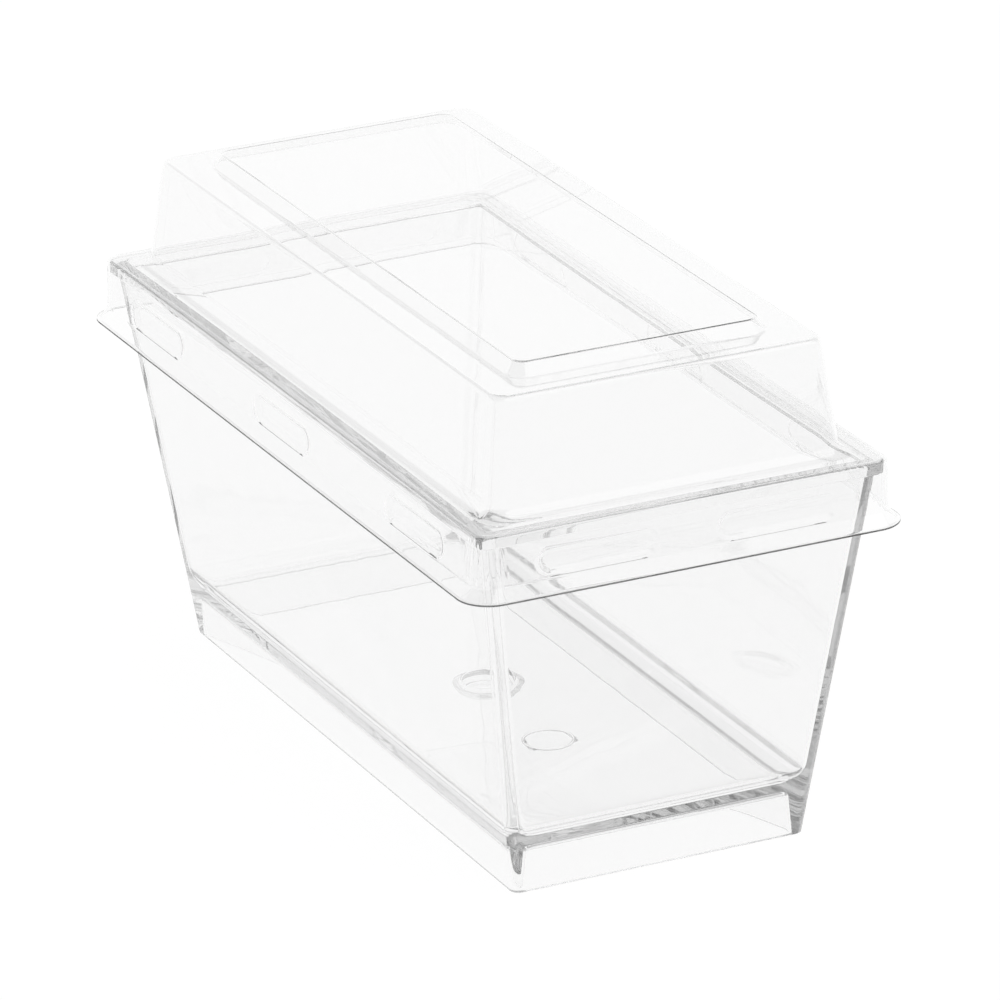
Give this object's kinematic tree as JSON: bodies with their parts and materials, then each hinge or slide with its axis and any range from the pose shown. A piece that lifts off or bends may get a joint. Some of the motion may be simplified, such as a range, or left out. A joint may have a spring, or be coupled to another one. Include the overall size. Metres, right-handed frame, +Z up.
{
  "type": "soap loaf mould",
  "caption": "Clear drafted loaf tray with a raised floor over a stacking foot, and a thin domed lid that snaps over its rim.",
  "frame": {"origin": "middle of the foot's underside, the bottom centre of the whole object", "axes": "+X along the loaf, +Y across it, +Z up, the way the lid lifts off"},
  "size_m": [0.184, 0.0932, 0.1055],
  "materials": {
    "clear_tray": "rigid crystal-clear polystyrene, polished",
    "clear_lid": "thin formed clear sheet, glossy with a faint waviness"
  },
  "bodies": {
    "tray": {"mould_tray": "clear_tray"},
    "lid": {"snap_lid": "clear_lid"}
  },
  "joints": [
    {"name": "lid_lift", "type": "slide", "parent": "tray", "child": "lid", "axis": [0, 0, 1], "range_m": [0, 0.05]}
  ]
}
